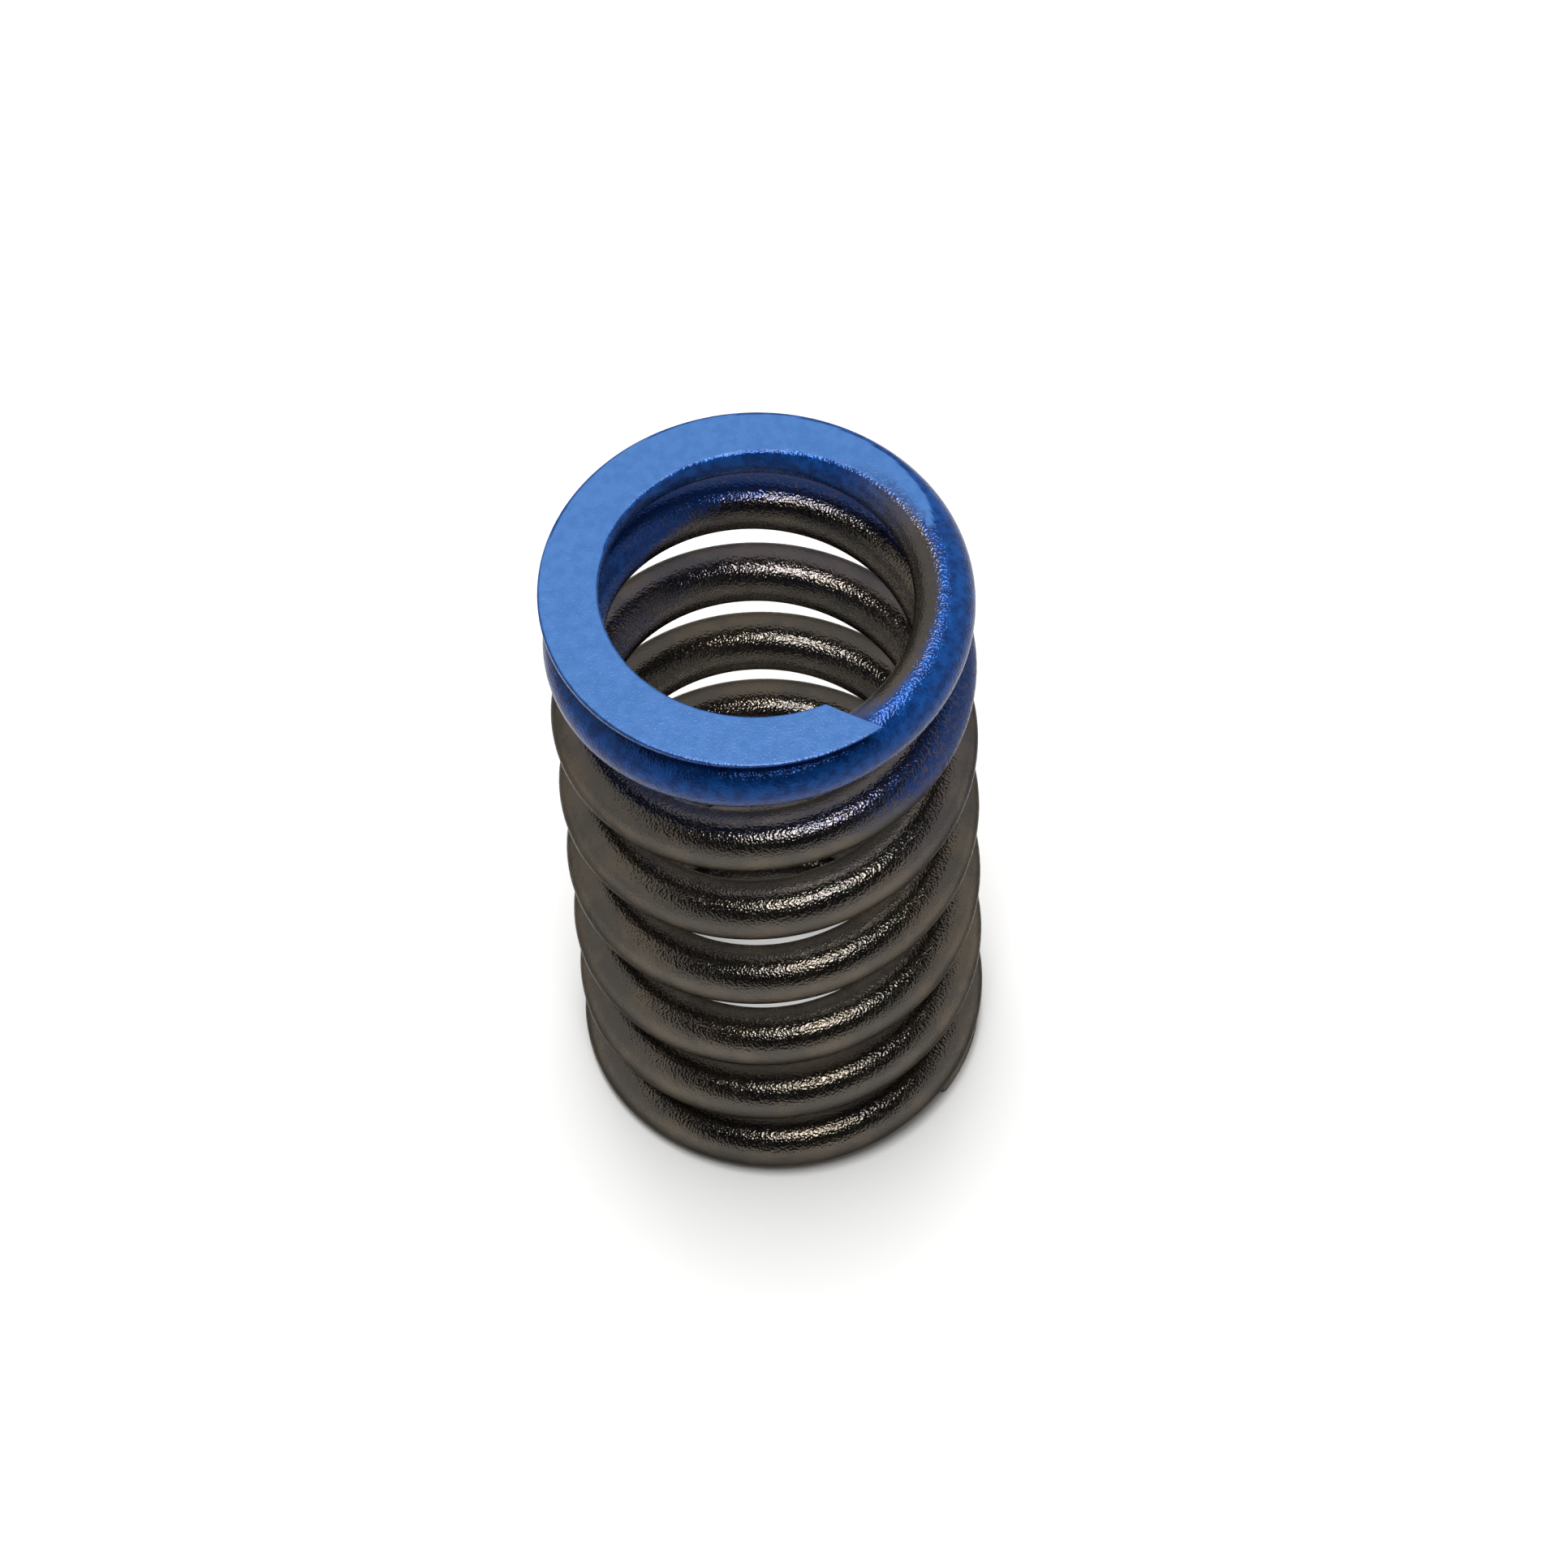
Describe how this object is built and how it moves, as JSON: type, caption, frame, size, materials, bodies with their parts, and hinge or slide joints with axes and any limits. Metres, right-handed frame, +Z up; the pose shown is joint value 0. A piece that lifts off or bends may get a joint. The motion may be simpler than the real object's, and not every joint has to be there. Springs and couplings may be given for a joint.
{
  "type": "compression coil spring",
  "caption": "Closed and ground compression coil spring of round steel wire, right-hand wound, with one end painted blue.",
  "frame": {"origin": "centre of the bottom ground seat, on the coil axis", "axes": "+Z up along the coil axis from the bare bottom seat to the painted top seat; seen from above, the wire climbs anticlockwise from its bottom tip at 40 degrees clockwise of +X"},
  "size_m": [0.0284, 0.0284, 0.0527],
  "materials": {
    "spring_steel": "dark shot-peened spring steel, oiled satin",
    "blue_paint": "thin satin blue identification paint over shot-peened and ground steel"
  },
  "bodies": {
    "bottom_end": {"bottom_end_coil": "spring_steel"},
    "coil_1_quarter_1": {"active_coil_1_quarter_1": "spring_steel"},
    "coil_1_quarter_2": {"active_coil_1_quarter_2": "spring_steel"},
    "coil_1_quarter_3": {"active_coil_1_quarter_3": "spring_steel"},
    "coil_1_quarter_4": {"active_coil_1_quarter_4": "spring_steel"},
    "coil_2_quarter_1": {"active_coil_2_quarter_1": "spring_steel"},
    "coil_2_quarter_2": {"active_coil_2_quarter_2": "spring_steel"},
    "coil_2_quarter_3": {"active_coil_2_quarter_3": "spring_steel"},
    "coil_2_quarter_4": {"active_coil_2_quarter_4": "spring_steel"},
    "coil_3_quarter_1": {"active_coil_3_quarter_1": "spring_steel"},
    "coil_3_quarter_2": {"active_coil_3_quarter_2": "spring_steel"},
    "coil_3_quarter_3": {"active_coil_3_quarter_3": "spring_steel"},
    "coil_3_quarter_4": {"active_coil_3_quarter_4": "spring_steel"},
    "coil_4_quarter_1": {"active_coil_4_quarter_1": "spring_steel"},
    "coil_4_quarter_2": {"active_coil_4_quarter_2": "spring_steel"},
    "coil_4_quarter_3": {"active_coil_4_quarter_3": "spring_steel"},
    "coil_4_quarter_4": {"active_coil_4_quarter_4": "spring_steel"},
    "coil_5_quarter_1": {"active_coil_5_quarter_1": "spring_steel"},
    "coil_5_quarter_2": {"active_coil_5_quarter_2": "spring_steel"},
    "coil_5_quarter_3": {"active_coil_5_quarter_3": "spring_steel"},
    "coil_5_quarter_4": {"active_coil_5_quarter_4": "spring_steel"},
    "coil_6_quarter_1": {"active_coil_6_quarter_1": "spring_steel"},
    "coil_6_quarter_2": {"active_coil_6_quarter_2": "spring_steel"},
    "top_end": {"top_end_coil": "blue_paint"}
  },
  "joints": [
    {"name": "squeeze_01", "type": "slide", "parent": "bottom_end", "child": "coil_1_quarter_1", "axis": [0, 0, -1], "range_m": [0, 0.00065], "stiffness_N_per_m": 675000},
    {"name": "squeeze_02", "type": "slide", "parent": "coil_1_quarter_1", "child": "coil_1_quarter_2", "axis": [0, 0, -1], "range_m": [0, 0.00065], "stiffness_N_per_m": 675000},
    {"name": "squeeze_03", "type": "slide", "parent": "coil_1_quarter_2", "child": "coil_1_quarter_3", "axis": [0, 0, -1], "range_m": [0, 0.00065], "stiffness_N_per_m": 675000},
    {"name": "squeeze_04", "type": "slide", "parent": "coil_1_quarter_3", "child": "coil_1_quarter_4", "axis": [0, 0, -1], "range_m": [0, 0.00065], "stiffness_N_per_m": 675000},
    {"name": "squeeze_05", "type": "slide", "parent": "coil_1_quarter_4", "child": "coil_2_quarter_1", "axis": [0, 0, -1], "range_m": [0, 0.00065], "stiffness_N_per_m": 675000},
    {"name": "squeeze_06", "type": "slide", "parent": "coil_2_quarter_1", "child": "coil_2_quarter_2", "axis": [0, 0, -1], "range_m": [0, 0.00065], "stiffness_N_per_m": 675000},
    {"name": "squeeze_07", "type": "slide", "parent": "coil_2_quarter_2", "child": "coil_2_quarter_3", "axis": [0, 0, -1], "range_m": [0, 0.00065], "stiffness_N_per_m": 675000},
    {"name": "squeeze_08", "type": "slide", "parent": "coil_2_quarter_3", "child": "coil_2_quarter_4", "axis": [0, 0, -1], "range_m": [0, 0.00065], "stiffness_N_per_m": 675000},
    {"name": "squeeze_09", "type": "slide", "parent": "coil_2_quarter_4", "child": "coil_3_quarter_1", "axis": [0, 0, -1], "range_m": [0, 0.00065], "stiffness_N_per_m": 675000},
    {"name": "squeeze_10", "type": "slide", "parent": "coil_3_quarter_1", "child": "coil_3_quarter_2", "axis": [0, 0, -1], "range_m": [0, 0.00065], "stiffness_N_per_m": 675000},
    {"name": "squeeze_11", "type": "slide", "parent": "coil_3_quarter_2", "child": "coil_3_quarter_3", "axis": [0, 0, -1], "range_m": [0, 0.00065], "stiffness_N_per_m": 675000},
    {"name": "squeeze_12", "type": "slide", "parent": "coil_3_quarter_3", "child": "coil_3_quarter_4", "axis": [0, 0, -1], "range_m": [0, 0.00065], "stiffness_N_per_m": 675000},
    {"name": "squeeze_13", "type": "slide", "parent": "coil_3_quarter_4", "child": "coil_4_quarter_1", "axis": [0, 0, -1], "range_m": [0, 0.00065], "stiffness_N_per_m": 675000},
    {"name": "squeeze_14", "type": "slide", "parent": "coil_4_quarter_1", "child": "coil_4_quarter_2", "axis": [0, 0, -1], "range_m": [0, 0.00065], "stiffness_N_per_m": 675000},
    {"name": "squeeze_15", "type": "slide", "parent": "coil_4_quarter_2", "child": "coil_4_quarter_3", "axis": [0, 0, -1], "range_m": [0, 0.00065], "stiffness_N_per_m": 675000},
    {"name": "squeeze_16", "type": "slide", "parent": "coil_4_quarter_3", "child": "coil_4_quarter_4", "axis": [0, 0, -1], "range_m": [0, 0.00065], "stiffness_N_per_m": 675000},
    {"name": "squeeze_17", "type": "slide", "parent": "coil_4_quarter_4", "child": "coil_5_quarter_1", "axis": [0, 0, -1], "range_m": [0, 0.00065], "stiffness_N_per_m": 675000},
    {"name": "squeeze_18", "type": "slide", "parent": "coil_5_quarter_1", "child": "coil_5_quarter_2", "axis": [0, 0, -1], "range_m": [0, 0.00065], "stiffness_N_per_m": 675000},
    {"name": "squeeze_19", "type": "slide", "parent": "coil_5_quarter_2", "child": "coil_5_quarter_3", "axis": [0, 0, -1], "range_m": [0, 0.00065], "stiffness_N_per_m": 675000},
    {"name": "squeeze_20", "type": "slide", "parent": "coil_5_quarter_3", "child": "coil_5_quarter_4", "axis": [0, 0, -1], "range_m": [0, 0.00065], "stiffness_N_per_m": 675000},
    {"name": "squeeze_21", "type": "slide", "parent": "coil_5_quarter_4", "child": "coil_6_quarter_1", "axis": [0, 0, -1], "range_m": [0, 0.00065], "stiffness_N_per_m": 675000},
    {"name": "squeeze_22", "type": "slide", "parent": "coil_6_quarter_1", "child": "coil_6_quarter_2", "axis": [0, 0, -1], "range_m": [0, 0.00065], "stiffness_N_per_m": 675000},
    {"name": "squeeze_23", "type": "slide", "parent": "coil_6_quarter_2", "child": "top_end", "axis": [0, 0, -1], "range_m": [0, 0.00065], "stiffness_N_per_m": 675000}
  ]
}
